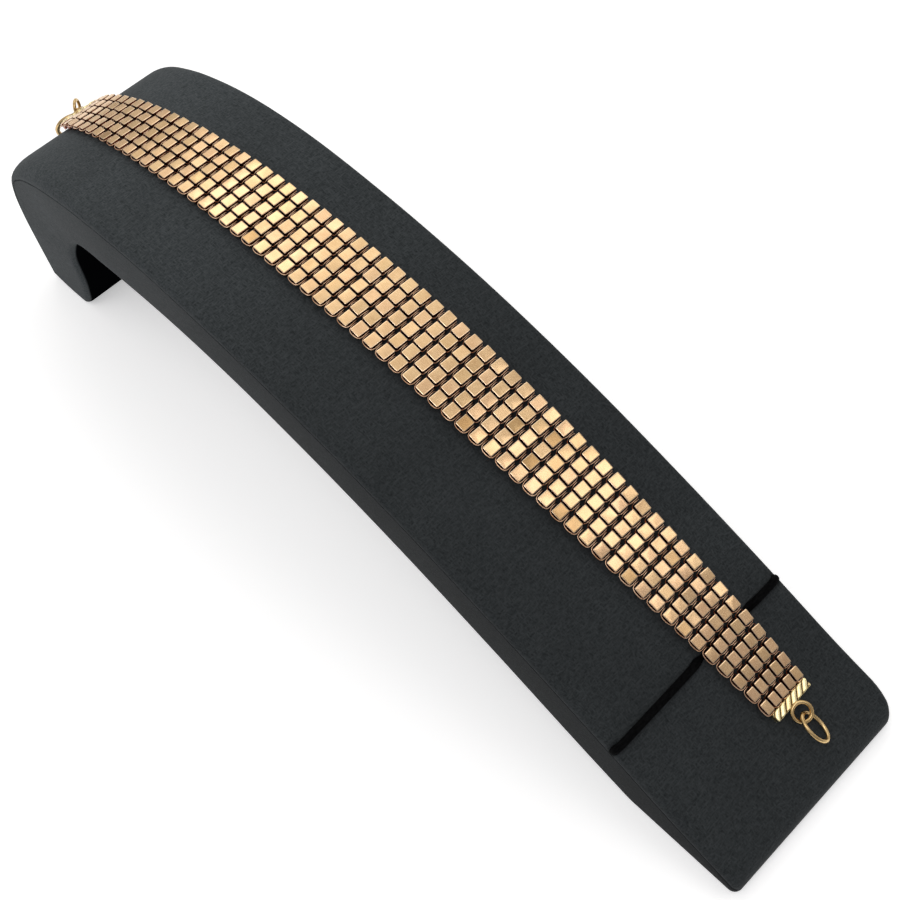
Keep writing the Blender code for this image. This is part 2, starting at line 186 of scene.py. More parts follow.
def make_camera():
    data = bpy.data.cameras.new("camera")
    data.sensor_width = SENSOR_WIDTH
    data.lens = FOCAL_PIXELS / IMAGE_SIZE * SENSOR_WIDTH
    data.clip_start = CAMERA_NEAREST
    data.clip_end = CAMERA_FURTHEST
    camera = bpy.data.objects.new("camera", data)
    bpy.context.scene.collection.objects.link(camera)
    turn = Matrix((CAMERA_RIGHT, CAMERA_UP, CAMERA_BACK)).transposed()
    camera.matrix_world = Matrix.Translation(CAMERA_PLACE) @ turn.to_4x4()
    bpy.context.scene.camera = camera


# Geometry shared with the part


def smooth_curve(points, step):
    """Samples about one step apart on a smooth curve through the points."""
    points = np.array(points, dtype=float)
    chords = np.linalg.norm(np.diff(points, axis=0), axis=1)
    knots = np.concatenate(([0.0], np.cumsum(chords)))
    slopes = np.gradient(points, knots, axis=0)
    samples = []
    for i, chord in enumerate(chords):
        count = max(1, round(chord / step))
        for t in np.arange(count) / count:
            samples.append(
                (2 * t**3 - 3 * t**2 + 1) * points[i]
                + (t**3 - 2 * t**2 + t) * chord * slopes[i]
                + (3 * t**2 - 2 * t**3) * points[i + 1]
                + (t**3 - t**2) * chord * slopes[i + 1]
            )
    samples.append(points[-1])
    return np.array(samples)


class TopLine:
    """The ramp's top as a line from the lip to the foot, measured along its length."""

    def __init__(self):
        points = [(0.0, LIP_HEIGHT)]
        points += [(along * RAMP_LENGTH, up * RAMP_HEIGHT) for along, up in TOP_SECTIONS]
        points.append((RAMP_LENGTH, 0.0))
        self.points = smooth_curve(points, TOP_LINE_STEP)
        steps = np.linalg.norm(np.diff(self.points, axis=0), axis=1)
        self.lengths = np.concatenate(([0.0], np.cumsum(steps)))
        self.slopes = np.gradient(self.points, self.lengths, axis=0)

    def at_length(self, length):
        """Point and upward normal at a length from the lip."""
        point = np.array([np.interp(length, self.lengths, self.points[:, i]) for i in (0, 1)])
        slope = np.array([np.interp(length, self.lengths, self.slopes[:, i]) for i in (0, 1)])
        slope /= np.linalg.norm(slope)
        return point, np.array((-slope[1], slope[0]))

    def length_behind_lip(self, behind):
        """Length of the top's point that lies so far behind the lip, in plan."""
        climb = int(np.argmax(self.points[:, 0]))
        return float(np.interp(behind, self.points[:climb, 0], self.lengths[:climb]))

    def length_at_height(self, height):
        """Length of the point at a height on the far side, beyond the crest."""
        crest = int(np.argmax(self.points[:, 1]))
        return float(np.interp(-height, -self.points[crest:, 1], self.lengths[crest:]))


TOP = TopLine()
FIRST_ROW_FROM_LIP = TOP.lengths[-1] - FAR_MARGIN - (ROWS - 1) * ROW_PITCH * math.cos(BAND_YAW)


def world_point(behind_lip, side, height):
    return Vector((RAMP_LENGTH / 2 - behind_lip, side, height))


def over_top(length, side, height):
    """World point above the ramp's top, at a length from the lip."""
    point, normal = TOP.at_length(length)
    point = point + normal * height
    return world_point(point[0], side, point[1])


def band_to_top(back, across):
    """Length from the lip and side position of a point of the band laid flat."""
    length = FIRST_ROW_FROM_LIP + back * math.cos(BAND_YAW) + across * math.sin(BAND_YAW)
    side = NEAR_SIDE_SHIFT - back * math.sin(BAND_YAW) + across * math.cos(BAND_YAW)
    return length, side


def band_point(back, across, height):
    """World point at a height over the ramp, following the band."""
    length, side = band_to_top(back, across)
    return over_top(length, side, height)


def column_pitch(back):
    """Column spacing at a distance back from the first row: widest in the middle."""
    middle = (ROWS - 1) * ROW_PITCH / 2
    taper = NEAR_TAPER if back < middle else FAR_TAPER
    return COLUMN_PITCH * (1 - taper * ((back - middle) / middle) ** 2)


def band_frame(back, place, height):
    """Placing on the band, a number of columns from its middle.

    X runs along the column toward the lip, Y across and Z off the ramp.
    """
    step = ROW_PITCH / 4

    def point(at, across=0.0):
        return band_point(at, place * column_pitch(at) + across, height)

    forward = (point(back - step) - point(back + step)).normalized()
    sideways = (point(back, step) - point(back, -step)).normalized()
    upward = forward.cross(sideways).normalized()
    sideways = upward.cross(forward)
    rotation = Matrix((forward, sideways, upward)).transposed()
    return Matrix.Translation(point(back)) @ rotation.to_4x4()


# Mesh helpers


def new_piece(name, mesh, material, slot, *replaced):
    """An object of the model: rides on the body, has its finish and may replace CAD nodes."""
    piece = bpy.data.objects.new(name, mesh)
    bpy.context.scene.collection.objects.link(piece)
    piece.data.materials.append(material)
    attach(piece, BODY)
    if replaced:
        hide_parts(*replaced)
    return piece


def mesh_of(name, bm, sharp_angle=None):
    bm.normal_update()
    bmesh.ops.recalc_face_normals(bm, faces=bm.faces)
    mesh = bpy.data.meshes.new(name)
    bm.to_mesh(mesh)
    bm.free()
    mesh.shade_smooth()
    if sharp_angle is not None:
        mesh.set_sharp_from_angle(angle=math.radians(sharp_angle))
    return mesh


def bridge_loops(bm, loops, closed=False):
    """Quads between neighbouring loops of vertices, and a face on each end of open ones."""
    pairs = list(zip(loops, loops[1:]))
    if closed:
        pairs.append((loops[-1], loops[0]))
    for low, high in pairs:
        count = len(low)
        for i in range(count):
            j = (i + 1) % count
            bm.faces.new((low[i], low[j], high[j], high[i]))
    if not closed:
        bm.faces.new(loops[0])
        bm.faces.new(loops[-1])


def add_tube(bm, points, radius, sides, closed=True):
    """A tube of round section along 3D points. The radius may differ from point to point."""
    count = len(points)
    radii = [radius] * count if isinstance(radius, float) else radius
    tangents = []
    for i in range(count):
        before = points[i - 1] if closed or i > 0 else points[i]
        after = points[(i + 1) % count] if closed or i < count - 1 else points[i]
        tangents.append((after - before).normalized())
    # One normal is carried along the path, and its total twist is spread over a closed one
    first = tangents[0].orthogonal().normalized()
    normals = [first]
    for i in range(1, count):
        normal = normals[-1] - tangents[i] * normals[-1].dot(tangents[i])
        normals.append(normal.normalized())
    twist = 0.0
    if closed:
        end = (normals[-1] - tangents[0] * normals[-1].dot(tangents[0])).normalized()
        twist = math.atan2(end.cross(first).dot(tangents[0]), end.dot(first))
    loops = []
    for i in range(count):
        sideways = tangents[i].cross(normals[i])
        turn = twist * i / count
        loop = []
        for j in range(sides):
            angle = 2 * math.pi * j / sides + turn
            offset = normals[i] * math.cos(angle) + sideways * math.sin(angle)
            loop.append(bm.verts.new(points[i] + offset * radii[i]))
        loops.append(loop)
    bridge_loops(bm, loops, closed)
    return loops


# Materials


def set_stops(node, stops):
    """Gives a colour ramp node its stops; a stop is (place, colour)."""
    elements = node.color_ramp.elements
    while len(elements) < len(stops):
        elements.new(0.5)
    for element, (place, color) in zip(elements, stops):
        element.position = place
        element.color = (*color, 1.0)


class Shader:
    """A node material around one Principled shader, with short calls for its nodes."""

    def __init__(self, name, **values):
        self.material = bpy.data.materials.new(name)
        self.material.use_nodes = True
        self.tree = self.material.node_tree
        self.principled = self.tree.nodes["Principled BSDF"]
        for socket, value in values.items():
            self.principled.inputs[socket.replace("_", " ")].default_value = value
        self.object_coords = self.node("ShaderNodeTexCoord").outputs["Object"]

    def node(self, kind, **settings):
        made = self.tree.nodes.new(kind)
        for name, value in settings.items():
            setattr(made, name, value)
        return made

    def link(self, output, node, socket):
        self.tree.links.new(output, node.inputs[socket])

    def mapped(self, scale, rotation=(0.0, 0.0, 0.0)):
        mapping = self.node("ShaderNodeMapping")
        mapping.inputs["Scale"].default_value = scale
        mapping.inputs["Rotation"].default_value = rotation
        self.link(self.object_coords, mapping, "Vector")
        return mapping.outputs["Vector"]

    def noise(self, vector, scale, detail=2.0, roughness=0.5):
        noise = self.node("ShaderNodeTexNoise")
        noise.inputs["Scale"].default_value = scale
        noise.inputs["Detail"].default_value = detail
        noise.inputs["Roughness"].default_value = roughness
        self.link(vector, noise, "Vector")
        return noise.outputs["Fac"]

    def ramp(self, factor, *stops):
        """Colours at places from 0 to 1; a stop is (place, colour)."""
        ramp = self.node("ShaderNodeValToRGB")
        set_stops(ramp, stops)
        self.link(factor, ramp, "Fac")
        return ramp.outputs["Color"]

    def range(self, value, from_low, from_high, to_low, to_high):
        """The value mapped from one range to the other, and kept inside that other one."""
        node = self.node("ShaderNodeMapRange")
        for socket, number in zip((1, 2, 3, 4), (from_low, from_high, to_low, to_high)):
            node.inputs[socket].default_value = number
        self.link(value, node, 0)
        return node.outputs[0]

    def math(self, operation, first, second):
        node = self.node("ShaderNodeMath", operation=operation)
        for socket, value in enumerate((first, second)):
            if isinstance(value, (int, float)):
                node.inputs[socket].default_value = value
            else:
                self.link(value, node, socket)
        return node.outputs[0]

    def mix(self, blend, factor, first, second):
        node = self.node("ShaderNodeMix", data_type="RGBA", blend_type=blend)
        for socket, value in ((0, factor), (6, first), (7, second)):
            if isinstance(value, float):
                node.inputs[socket].default_value = value
            elif isinstance(value, tuple):
                node.inputs[socket].default_value = (*value, 1.0)
            else:
                self.link(value, node, socket)
        return node.outputs[2]

    def attribute(self, name):
        return self.node("ShaderNodeAttribute", attribute_name=name).outputs["Fac"]

    def bump(self, height, strength, distance):
        bump = self.node("ShaderNodeBump")
        bump.inputs["Strength"].default_value = strength
        bump.inputs["Distance"].default_value = distance
        self.link(height, bump, "Height")
        return bump.outputs["Normal"]

    def set(self, **outputs):
        for socket, output in outputs.items():
            self.link(output, self.principled, socket.replace("_", " "))


# Colours of the leatherette from the bottom to the top of its weave, and the near black of the
# painted shade on its underside and sides
LEATHER_TONES = (
    (0.52, (0.0264, 0.0325, 0.0345)),
    (1.05, (0.085, 0.095, 0.100)),
)
PAINTED_SHADE_COLOR = (0.0015, 0.0017, 0.002)
LEATHER_SHINE = 0.12

# Noise scales: fine grain, threads along and across themselves, and faint patches
GRAIN_SCALE = 2600.0
THREAD_LENGTHWISE = 900.0
THREAD_ACROSS = 3600.0
PATCH_SCALE = 55.0
WEAVE_DEPTH = 0.00012

# Painted light: the leatherette's colour grows paler between these two places along X, from one
# factor to the other, standing in for the brighter light on the crest
LEATHER_PAINTED_LIGHT_PLACES = (0.02, -0.085)
LEATHER_PAINTED_LIGHT_FACTORS = (0.465, 0.96)

# Scales and slant of the elastic's braid
BRAID_SCALES = (2500.0, 1200.0, 2500.0)
BRAID_SLANT = (0.0, 0.0, 0.6)
BRAID_DEPTH = 0.00008
ELASTIC_TONES = (
    (0.3, (0.0008, 0.0008, 0.0009)),
    (0.8, (0.0045, 0.0045, 0.0048)),
)
BLACK_TO_WHITE = (
    (0.0, (0.0, 0.0, 0.0)),
    (1.0, (1.0, 1.0, 1.0)),
)


def leatherette():
    """Charcoal woven leatherette: fine crossing threads, a soft grain and faint patches.

    It is painted paler toward the crest as painted light, and its underside is painted black and
    its sides darker toward the lip as painted shade.
    """
    shader = Shader("leatherette", Roughness=0.72, Specular_IOR_Level=LEATHER_SHINE)
    coords = shader.object_coords
    grain = shader.noise(coords, GRAIN_SCALE, detail=3.0, roughness=0.62)
    along_x = shader.mapped((THREAD_LENGTHWISE, THREAD_ACROSS, THREAD_ACROSS))
    along_y = shader.mapped((THREAD_ACROSS, THREAD_LENGTHWISE, THREAD_ACROSS))
    threads_x = shader.noise(along_x, 1.0, detail=1.0)
    threads_y = shader.noise(along_y, 1.0, detail=1.0)
    weave = shader.math("MAXIMUM", threads_x, threads_y)
    patches = shader.noise(coords, PATCH_SCALE)
    height = shader.math("ADD", shader.math("MULTIPLY", grain, 0.5), weave)
    tone = shader.ramp(height, *LEATHER_TONES)
    axes = shader.node("ShaderNodeSeparateXYZ")
    shader.link(coords, axes, 0)
    # Painted light: the colour is made paler toward the crest where the light is brighter, and the
    # faint patches vary it
    painted_crest_light = shader.range(axes.outputs["X"], *LEATHER_PAINTED_LIGHT_PLACES, *LEATHER_PAINTED_LIGHT_FACTORS)
    wear_and_painted_light = shader.math("MULTIPLY", shader.range(patches, 0.30, 0.70, 0.90, 1.05), painted_crest_light)
    scaled = shader.mix("MULTIPLY", 1.0, tone, shader.ramp(wear_and_painted_light, *BLACK_TO_WHITE))
    # Painted shade: the underside is painted near black and the sides darker toward the lip, with
    # their sheen taken away
    painted_shade = shader.attribute("painted_shade")
    shader.set(
        Base_Color=shader.mix("MIX", painted_shade, scaled, PAINTED_SHADE_COLOR),
        Specular_IOR_Level=shader.range(painted_shade, 0.4, 1.0, LEATHER_SHINE, 0.0),
        Roughness=shader.range(grain, 0.3, 0.7, 0.66, 0.86),
        Normal=shader.bump(height, 0.55, WEAVE_DEPTH),
    )
    return shader.material


def elastic():
    """Matt black elastic: a fine braid round the cord."""
    shader = Shader("elastic", Roughness=0.95, Specular_IOR_Level=0.05)
    threads = shader.noise(shader.mapped(BRAID_SCALES, BRAID_SLANT), 1.0)
    shader.set(
        Base_Color=shader.ramp(threads, *ELASTIC_TONES),
        Normal=shader.bump(threads, 0.5, BRAID_DEPTH),
    )
    return shader.material


# Colour factors of the plates by their tone, from dull olive to clean
PLATE_TONES = (
    (0.00, (0.46, 0.38, 0.25)),
    (0.045, (0.88, 0.86, 0.78)),
    (0.30, (0.96, 0.96, 0.93)),
    (0.60, (1.00, 0.985, 0.96)),
    (0.90, (1.00, 0.965, 0.98)),
)

# Scales and depth of the brush lines along the plates, their colour factors, and the
# scale of the stains
STROKE_SCALES = (700.0, 7000.0, 7000.0)
STROKE_DEPTH = 0.00002
STAIN_SCALE = 420.0
STROKE_TONES = (
    (0.28, (0.88, 0.86, 0.82)),
    (0.60, (1.0, 1.0, 1.0)),
)

# Colours of a plate's thin rim, a painted highlight; of its side below the rim, painted shade; and
# of a cap's grooves, painted shade
RIM_HIGHLIGHT_COLOR = (0.95, 0.76, 0.56)
SIDE_SHADE_COLOR = (0.29, 0.075, 0.03)
GROOVE_SHADE_COLOR = (0.15, 0.07, 0.015)


def gold(name, dark, light, roughness, brushed, toned=False, painted_rim_and_shade=False, groove_shaded=False):
    """Worn gold with lengthwise brush lines and faint stains between two colours.

    Plates have a tone each, a painted highlight on the rim and painted shade on their sides, low
    wires have painted shade, and a cap has painted shade in its grooves.
    """
    shader = Shader(name, Metallic=1.0, Roughness=roughness)
    lines = shader.noise(shader.mapped(STROKE_SCALES), 1.0, detail=3.0, roughness=0.6)
    stains_and_shades = shader.noise(shader.object_coords, STAIN_SCALE)
    tone = shader.ramp(stains_and_shades, (0.30, dark), (0.62, light))
    color = shader.mix("MULTIPLY", brushed, tone, shader.ramp(lines, *STROKE_TONES))
    if toned:
        shades = shader.ramp(shader.attribute("tone"), *PLATE_TONES)
        color = shader.mix("MULTIPLY", 1.0, color, shades)
    if painted_rim_and_shade:
        # Painted highlight on the plates' rims and painted shade on their sides and on the low
        # wires
        edge = shader.attribute("edge")
        color = shader.mix("MIX", shader.range(edge, 0.0, 1.0, 0.0, 1.0), color, RIM_HIGHLIGHT_COLOR)
        color = shader.mix("MIX", shader.range(edge, 0.0, -1.0, 0.0, 1.0), color, SIDE_SHADE_COLOR)
    # Painted shade in the cap's grooves and up the petals
    if groove_shaded:
        color = shader.mix("MIX", shader.attribute("groove"), color, GROOVE_SHADE_COLOR)
    shader.set(
        Base_Color=color,
        Roughness=shader.range(lines, 0.3, 0.7, roughness * 0.85, roughness * 1.2),
        Normal=shader.bump(lines, 0.22 * brushed, STROKE_DEPTH),
    )
    return shader.material


# The ramp

SEAM_BELOW_EDGE = 0.0014
SEAM_DEPTH = 0.00022
SEAM_HALF_WIDTH = 0.00020
SEAM_FLOOR_SHARE = 0.25

# Rounding of the top's edges, which grows toward the far bend to the reach and the drop
# of each side; the left side is also drawn in there, over a height that rises to full
TOP_EDGE_RADIUS = 0.0011
RIGHT_BEND_EDGE = 0.0034
RIGHT_BEND_DROP = 0.0019
LEFT_BEND_EDGE = 0.0056
LEFT_BEND_DROP = 0.0025
LEFT_BEND_INSET = 0.0008
BEND_INSET_HEIGHT = 0.6 * RAMP_HEIGHT
BEND_START = 0.74
BEND_FULL = 0.96

EDGE_STEPS = 7
BOTTOM_EDGE_STEPS = 4
BOTTOM_EDGE_RADIUS = 0.0012
LIP_RADIUS = 0.0022
FOOT_RADIUS = 0.0016
LIP_CORNER_RADIUS = 0.0015
LIP_ROUND_REACH = 0.0026
RIGHT_LIP_CORNER = 0.0030
LIP_CORNER_REACH = 0.0060
FOOT_CORNER_RADIUS = 0.0016
SIDE_BULGE = 0.00012
STATION_STEP = 0.0012
END_STEPS = 9
FLAT_POINTS = 40

# How far the sides are painted toward black as shade at the lip and at the foot, and from which
# share of the depth down a point belongs to the underside, which is painted all black as shade
NEAR_SIDE_SHADE = 0.64
FAR_SIDE_SHADE = 0.20
UNDERSIDE_FROM = 0.999

# Places of a section's points: shares of half the top, of the side below the seam and of
# half the underside
TOP_SHARES = (0.0, 0.35, 0.7, 0.9)
SIDE_SHARES = (0.15, 0.4, 0.65, 0.9)
UNDERSIDE_SHARES = (0.8, 0.5, 0.0)


def underside_keys():
    """Pairs of a length along the top and the point of the board or leg under it."""
    keys = []
    for along, share in BOARD_SECTIONS:
        length = TOP.length_behind_lip(along * RAMP_LENGTH)
        point, normal = TOP.at_length(length)
        keys.append((length, point - normal * share * BOARD_THICKNESS))
    for up, share in LEG_SECTIONS:
        length = TOP.length_at_height(up * RAMP_HEIGHT)
        point, _ = TOP.at_length(length)
        keys.append((length, point - np.array((share * LEG_THICKNESS, 0.0))))
    return keys


def ramp_underside(keys):
    """Points of the underside from the lip to the foot, along the flat, the arch and the leg."""
    under = smooth_curve([point for _, point in keys], STATION_STEP / 2)
    first = int(np.argmax(under[:, 1] > 0.0))
    share = under[first][1] / (under[first][1] - under[first - 1][1])
    toe = under[first] + (under[first - 1] - under[first]) * share
    flat = [np.array((x, 0.0)) for x in np.linspace(0.0, toe[0], FLAT_POINTS)]
    return np.array(flat + list(under[first:]))


def ramp_stations():
    """Pairs of a top and an underside point, from the lip to the foot."""
    keys = underside_keys()
    under = ramp_underside(keys)
    steps = np.linalg.norm(np.diff(under, axis=0), axis=1)
    under_lengths = np.concatenate(([0.0], np.cumsum(steps)))
    # Lengths along the top and along the underside that belong together
    pairs = [(0.0, 0.0)]
    for length, point in keys[1:-1]:
        nearest = int(np.argmin(np.linalg.norm(under - point, axis=1)))
        pairs.append((length, under_lengths[nearest]))
    pairs.append((TOP.lengths[-1], under_lengths[-1]))
    pairs = np.array(pairs)
    stations = []
    for length in np.linspace(0.0, TOP.lengths[-1], int(TOP.lengths[-1] / STATION_STEP)):
        below = np.interp(length, pairs[:, 0], pairs[:, 1])
        low = np.array([np.interp(below, under_lengths, under[:, i]) for i in (0, 1)])
        high, _ = TOP.at_length(length)
        stations.append((high, low))
    return stations


def rounding(distance, radius):
    """How far an edge of that radius is drawn in at a distance from the end face."""
    rest = radius - min(distance, radius)
    return radius - math.sqrt(radius**2 - rest**2)


def section_side(half_width, depth, edge_reach, edge_drop):
    """Half a section as (across, depth), from the top's middle over the seam to the underside's."""
    # The roundings and the seam shrink where the lip is thin
    fullness = min(1.0, depth / (3 * SEAM_BELOW_EDGE))
    top_radius = edge_drop * fullness
    top_reach = edge_reach * fullness
    bottom_radius = BOTTOM_EDGE_RADIUS * fullness
    seam = (SEAM_BELOW_EDGE + edge_drop - TOP_EDGE_RADIUS) * fullness
    seam_half = SEAM_HALF_WIDTH * fullness
    seam_bottom = half_width - SEAM_DEPTH * fullness
    side = [((half_width - top_reach) * share, 0.0) for share in TOP_SHARES]
    for i in range(EDGE_STEPS + 1):
        angle = math.pi / 2 * i / EDGE_STEPS
        inset = top_reach * (1 - math.sin(angle))
        side.append((half_width - inset, top_radius * (1 - math.cos(angle))))
    side.append((half_width, seam - seam_half))
    side.append((seam_bottom, seam - seam_half * SEAM_FLOOR_SHARE))
    side.append((seam_bottom, seam + seam_half * SEAM_FLOOR_SHARE))
    side.append((half_width, seam + seam_half))
    lowest = seam + seam_half
    for share in SIDE_SHARES:
        bulge = math.sin(math.pi * share) * SIDE_BULGE
        side.append((half_width + bulge, lowest + (depth - bottom_radius - lowest) * share))
    for i in range(BOTTOM_EDGE_STEPS + 1):
        angle = math.pi / 2 * i / BOTTOM_EDGE_STEPS
        inset = bottom_radius * (1 - math.cos(angle))
        side.append((half_width - inset, depth - bottom_radius * (1 - math.sin(angle))))
    side += [(half_width * share, depth) for share in UNDERSIDE_SHARES]
    return side


def ramp_section(high, low, right_half, left_half):
    """One loop round the ramp as (point, how far its cover is painted toward black as shade).

    The underside is painted black and the sides a little dark toward the lip, as painted shade. The
    rounding of the top edges grows toward the far bend.
    """
    down = low - high
    depth = np.linalg.norm(down)
    down = down / depth
    along = high[0] / RAMP_LENGTH
    bend = min(1.0, max(0.0, (along - BEND_START) / (BEND_FULL - BEND_START)))
    bend = bend * bend * (3 - 2 * bend)

    def at_bend(size):
        return TOP_EDGE_RADIUS + (size - TOP_EDGE_RADIUS) * bend

    right_drop = at_bend(RIGHT_BEND_DROP)
    left_drop = at_bend(LEFT_BEND_DROP)
    inset = LEFT_BEND_INSET * bend * min(1.0, high[1] / BEND_INSET_HEIGHT)
    right = section_side(right_half, depth, at_bend(RIGHT_BEND_EDGE), right_drop)
    left = section_side(left_half - inset, depth, at_bend(LEFT_BEND_EDGE), left_drop)
    loop = right + [(-across, down_by) for across, down_by in left[-2:0:-1]]
    # Painted shade of the sides, strongest at the lip
    side_shade = NEAR_SIDE_SHADE + (FAR_SIDE_SHADE - NEAR_SIDE_SHADE) * along
    points = []
    for across, down_by in loop:
        flat = high + down * down_by
        edge_end = left_drop if across < 0 else right_drop
        if down_by > depth * UNDERSIDE_FROM:
            shade = 1.0
        elif down_by > edge_end:
            shade = side_shade
        else:
            shade = 0.0
        points.append((world_point(flat[0], across, flat[1]), shade))
    return points


def ramp_sections():
    """Sections from the lip to the foot: high and low point, half widths to the right and left."""
    half = RAMP_WIDTH / 2

    def halves(behind):
        right = rounding(behind / LIP_CORNER_REACH, 1.0) * RIGHT_LIP_CORNER
        return half - right, half - rounding(behind, LIP_CORNER_RADIUS)

    sections = []
    for i in range(END_STEPS):
        behind = LIP_ROUND_REACH * (1 - math.cos(math.pi / 2 * i / END_STEPS))
        high, _ = TOP.at_length(TOP.length_behind_lip(behind))
        high = np.array((behind, high[1] - rounding(behind, LIP_RADIUS)))
        low = np.array((behind, rounding(behind, FOOT_RADIUS)))
        sections.append((high, low, *halves(behind)))
    for high, low in ramp_stations():
        on_leg = high[0] > RAMP_LENGTH / 2
        if high[0] >= LIP_ROUND_REACH and not (on_leg and high[1] <= FOOT_CORNER_RADIUS):
            sections.append((high, low, *halves(high[0])))
    foot_thickness = LEG_SECTIONS[-1][1] * LEG_THICKNESS
    for i in range(END_STEPS, -1, -1):
        height = FOOT_CORNER_RADIUS * (1 - math.cos(math.pi / 2 * i / END_STEPS))
        outer, _ = TOP.at_length(TOP.length_at_height(height))
        inset = rounding(height, FOOT_CORNER_RADIUS)
        high = np.array((outer[0] - inset, height))
        low = np.array((outer[0] - foot_thickness + inset, height))
        sections.append((high, low, half - inset, half - inset))
    return sections


def make_ramp():
    """The board and leg as one covered body, with rounded corners and a seam down each side."""
    bm = bmesh.new()
    # Each vertex carries its painted shade: black on the underside, darker on the sides
    painted_shade_layer = bm.verts.layers.float.new("painted_shade")
    loops = []
    for section in ramp_sections():
        loop = []
        for point, shade in ramp_section(*section):
            vert = bm.verts.new(point)
            vert[painted_shade_layer] = shade
            loop.append(vert)
        loops.append(loop)
    bridge_loops(bm, loops)
    mesh = mesh_of("ramp_cover", bm, sharp_angle=50.0)
    cover = new_piece("ramp_cover", mesh, leatherette(), "leatherette", "display_ramp")
    cut_groove(cover)


# The elastic cord

CORD_POINT_STEP = 0.0004
CORD_SIDES = 20
GROOVE_ROOM = 0.00008


def cord_sink(side):
    """How far the band presses the cord into the padding: one diameter under the band."""
    back = (CORD_FROM_LIP - FIRST_ROW_FROM_LIP) / math.cos(BAND_YAW)
    _, middle = band_to_top(back, 0.0)
    half = COLUMNS * column_pitch(back) / 2 + CORD_SINK_MARGIN
    return CORD_DIAMETER / (1 + math.exp((abs(side - middle) - half) / CORD_SINK_SOFTNESS))


def cord_points():
    """The cord's route from side to side."""
    half = [
        np.array((RAMP_WIDTH / 2 - inset * CORD_DIAMETER, height * CORD_DIAMETER))
        for inset, height in CORD_ROUTE
    ]
    other = [point * np.array((-1.0, 1.0)) for point in half]
    route = smooth_curve(other[::-1] + half, CORD_POINT_STEP)
    return [
        over_top(CORD_FROM_LIP + CORD_SLANT * side, side, height - cord_sink(side))
        for side, height in route
    ]


def cut_groove(piece):
    """Takes the cord's groove out of the ramp's cover."""
    bm = bmesh.new()
    add_tube(bm, cord_points(), CORD_DIAMETER / 2 + GROOVE_ROOM, CORD_SIDES, closed=False)
    cutter = bpy.data.objects.new("groove", mesh_of("groove", bm))
    bpy.context.scene.collection.objects.link(cutter)
    modifier = piece.modifiers.new("groove", "BOOLEAN")
    modifier.object = cutter
    modifier.operation = "DIFFERENCE"
    bpy.context.view_layer.update()
    cut = piece.evaluated_get(bpy.context.evaluated_depsgraph_get())
    piece.data = bpy.data.meshes.new_from_object(cut)
    piece.modifiers.clear()
    bpy.data.objects.remove(cutter, do_unlink=True)


def make_cord():
    bm = bmesh.new()
    add_tube(bm, cord_points(), CORD_DIAMETER / 2, CORD_SIDES, closed=False)
    mesh = mesh_of("elastic_braid", bm, sharp_angle=50.0)
    new_piece("elastic_braid", mesh, elastic(), "elastic", "elastic_cord")


# The band of plates and wire rings

PLATE_THICKNESS = 0.00042
PLATE_CORNER = 0.00016
PLATE_BEVEL = 0.00010
PLATE_MIDDLE_SHARE = 0.55
CORNER_STEPS = 3
CORNER_TAKEN = 0.8
CORNER_LEAST = 0.2 * PLATE_CORNER
PLATE_TILT = math.radians(1.8)
PLATE_TURN = math.radians(-3.7)
PLATE_DOME = 0.00003
CORE_SHARE = 0.84
CORE_DEPTH = 0.00142
RING_SIDES = 8
RING_STEPS = 2
RING_TURN = math.radians(2.5)
RANDOM_SEED = 11
MILLIMETRE = 0.001

# Levels of a plate from its top down, in bevels: inset, height, and where the level is
# from the painted shade of the side (-1) over the face (0) to the painted highlight of the rim (1)
PLATE_LEVELS = (
    (2.2, 0.0, 0.0),
    (1.0, 0.0, 0.15),
    (0.3, -0.3, 1.0),
    (0.0, -1.0, 0.5),
    (0.0, -1.5, -1.0),
    (0.0, 1.0 - PLATE_THICKNESS / PLATE_BEVEL, -1.0),
    (1.0, -PLATE_THICKNESS / PLATE_BEVEL, -1.0),
)

# One wire ring round its plate's middle, in millimetres: toward the lip, across for the
# widest column spacing, height over the ramp's cover, and radius of the wire
RING_ROUTE = (
    (-1.20, 0.95, 0.60, 0.09),
    (-1.42, 0.65, 1.10, 0.07),
    (-1.46, 0.10, 1.32, 0.07),
    (-1.44, -0.65, 1.32, 0.075),
    (-1.24, -1.22, 1.20, 0.10),
    (-0.65, -1.55, 1.18, 0.11),
    (0.05, -1.62, 1.20, 0.12),
    (0.70, -1.56, 1.22, 0.12),
    (1.14, -1.30, 1.25, 0.12),
    (1.32, -0.85, 1.27, 0.09),
    (1.35, -0.20, 1.28, 0.08),
    (1.34, 0.50, 1.27, 0.08),
    (1.25, 0.98, 1.05, 0.09),
    (0.95, 1.18, 0.60, 0.09),
    (0.00, 1.22, 0.50, 0.09),
    (-0.85, 1.12, 0.52, 0.09),
)

# In the same millimetres: heights between which the wire goes from painted shade, where it lies
# low, to its own colour, and how far the arc beyond an edge on the left is lowered in all columns
# but the leftmost
RING_DARK_HEIGHT = 0.75
RING_BRIGHT_HEIGHT = 1.00
RING_ARC_EDGE = -1.0
INNER_ARC_DROP = 0.42


def rounded_rectangle(length, width, corner):
    """Outline points of a rectangle with rounded corners, in its own plane."""
    points = []
    for quarter in range(4):
        sign_x = 1 if quarter in (0, 3) else -1
        sign_y = 1 if quarter in (0, 1) else -1
        centre = Vector((sign_x * (length / 2 - corner), sign_y * (width / 2 - corner)))
        for i in range(CORNER_STEPS):
            angle = math.pi / 2 * (quarter + i / (CORNER_STEPS - 1))
            points.append(centre + Vector((math.cos(angle), math.sin(angle))) * corner)
    return points


